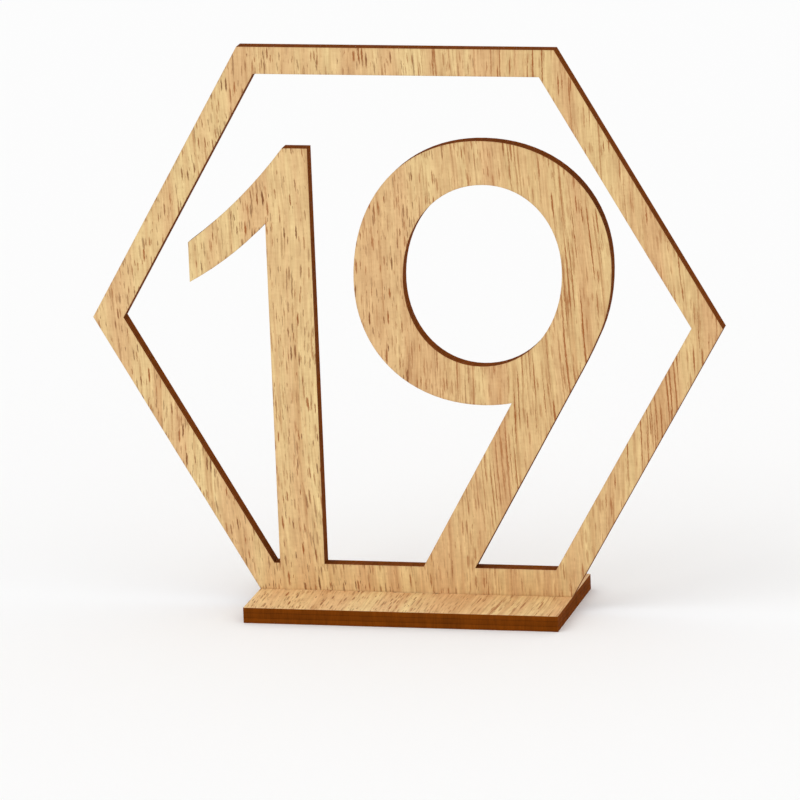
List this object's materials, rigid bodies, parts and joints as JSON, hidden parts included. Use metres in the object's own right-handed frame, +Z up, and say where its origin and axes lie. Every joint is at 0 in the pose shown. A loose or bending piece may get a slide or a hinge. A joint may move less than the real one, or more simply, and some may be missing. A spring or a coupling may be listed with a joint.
{
  "type": "table number holder",
  "caption": "Laser-cut plywood table number: a hexagon frame with two joined digits, standing by a tab in a slotted rectangular base plate.",
  "frame": {"origin": "on the table, under the middle of the base plate", "axes": "+Z up; +X along the base plate and across the panel, to the right as the number is read; the panel's front faces -Y"},
  "size_m": [0.12, 0.029, 0.1069],
  "materials": {
    "plywood": "smooth sanded, unfinished"
  },
  "bodies": {
    "base": {"base_plate": "plywood"},
    "panel": {"number_panel": "plywood"}
  },
  "joints": [
    {"name": "panel_lift", "type": "slide", "parent": "base", "child": "panel", "axis": [0, 0, 1], "range_m": [0, 0.03]}
  ]
}
